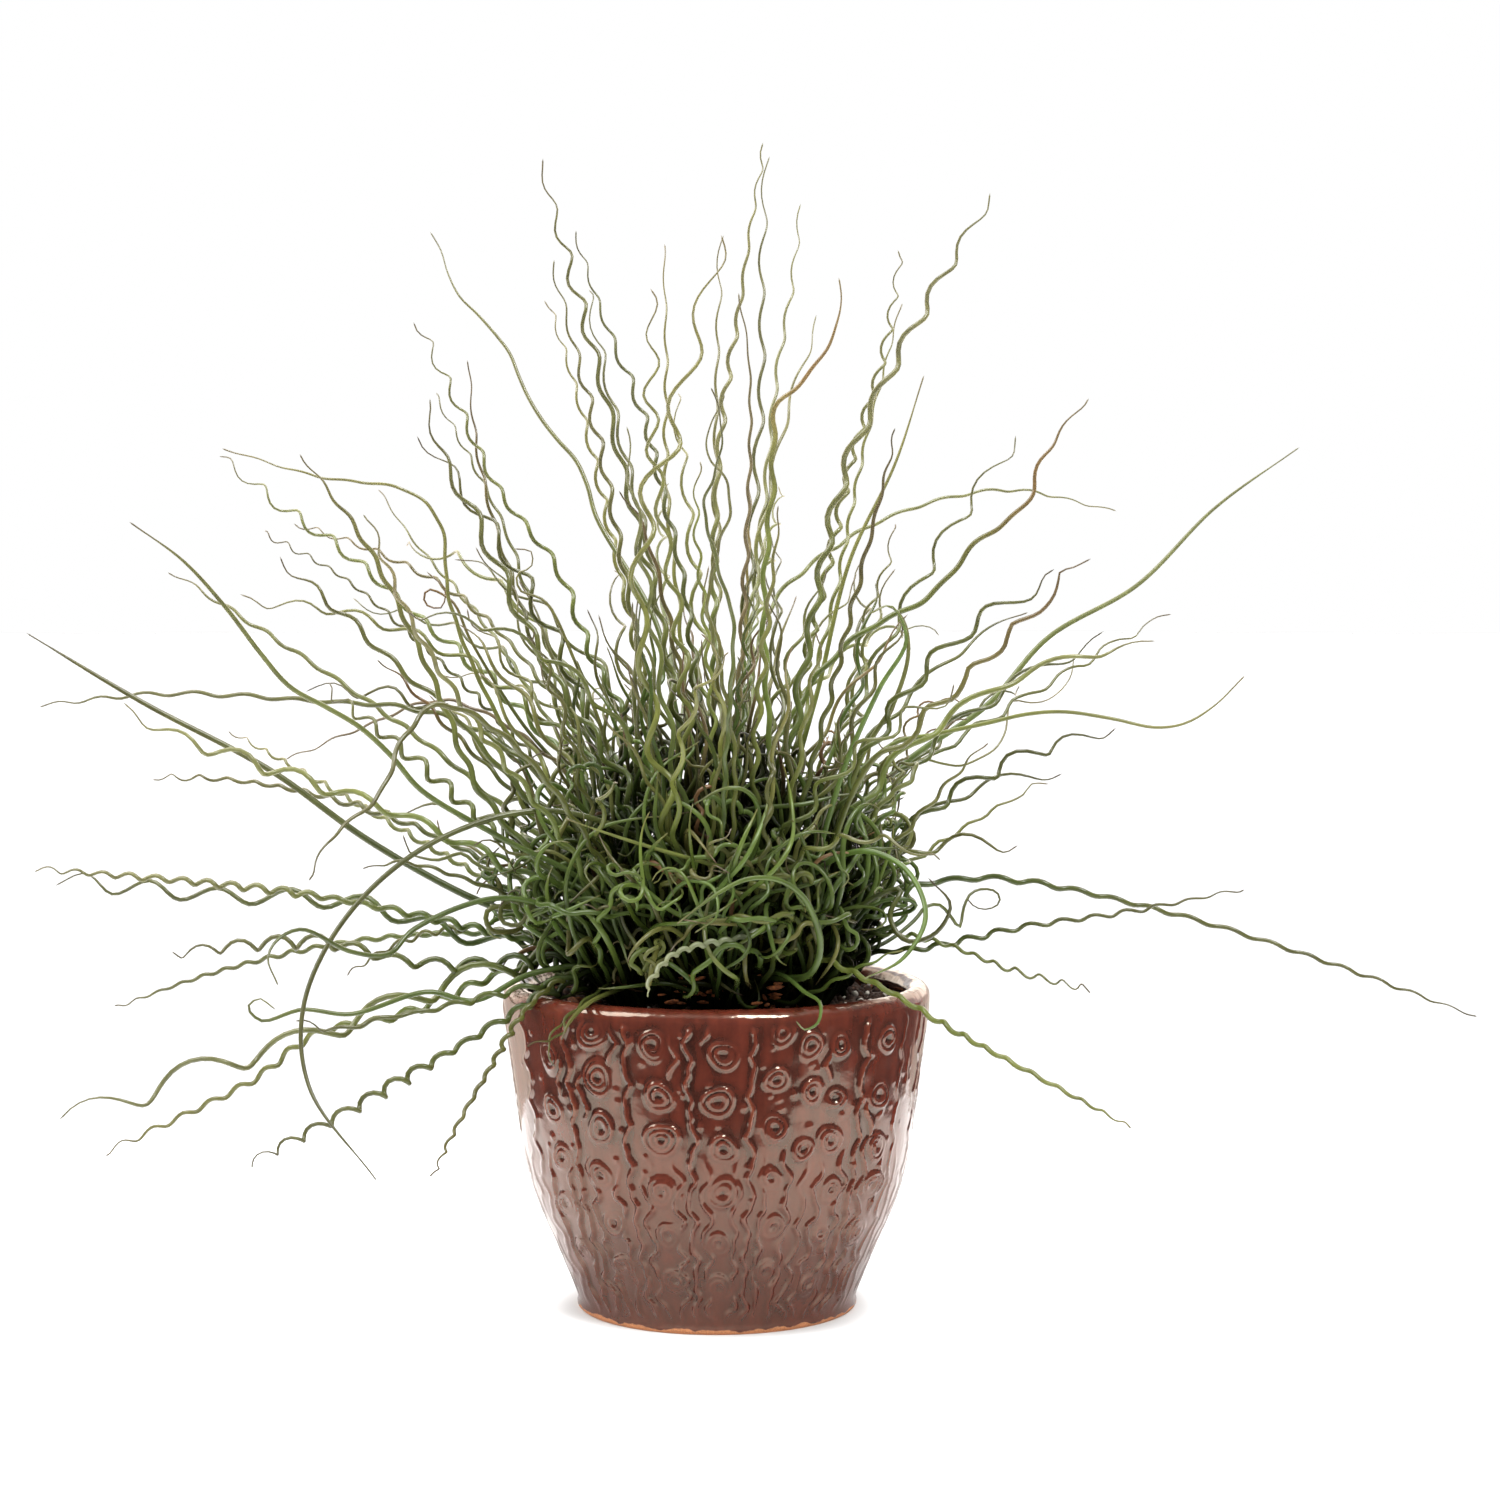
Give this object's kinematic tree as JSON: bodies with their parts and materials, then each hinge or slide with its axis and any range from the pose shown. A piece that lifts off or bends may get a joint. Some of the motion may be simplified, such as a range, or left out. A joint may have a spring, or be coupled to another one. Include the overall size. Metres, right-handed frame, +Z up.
{
  "type": "potted corkscrew rush",
  "caption": "Clump of coiled and wavy green rush stems spreading from a round-bellied glazed plant pot filled with dark potting soil; stands on its flat foot.",
  "frame": {"origin": "centre of the pot's flat foot, on the surface it stands on", "axes": "+Z up; +X to the right and -Y towards the side the plant is looked at from; the clump spreads furthest along X"},
  "size_m": [0.652, 0.4458, 0.5221],
  "materials": {
    "glaze": "glossy oxblood glaze over raised spirals",
    "soil": "damp crumbly potting mix with bark",
    "stems": "smooth satin green stems with drying tips"
  },
  "bodies": {
    "root": {"pot": "glaze", "soil": "soil", "tuft_upright": "stems", "tuft_right_low": "stems", "tuft_right_high": "stems", "tuft_back": "stems", "tuft_left_high": "stems", "tuft_left_low": "stems", "tuft_front_left": "stems", "tuft_front": "stems", "tuft_front_right": "stems"}
  },
  "joints": []
}
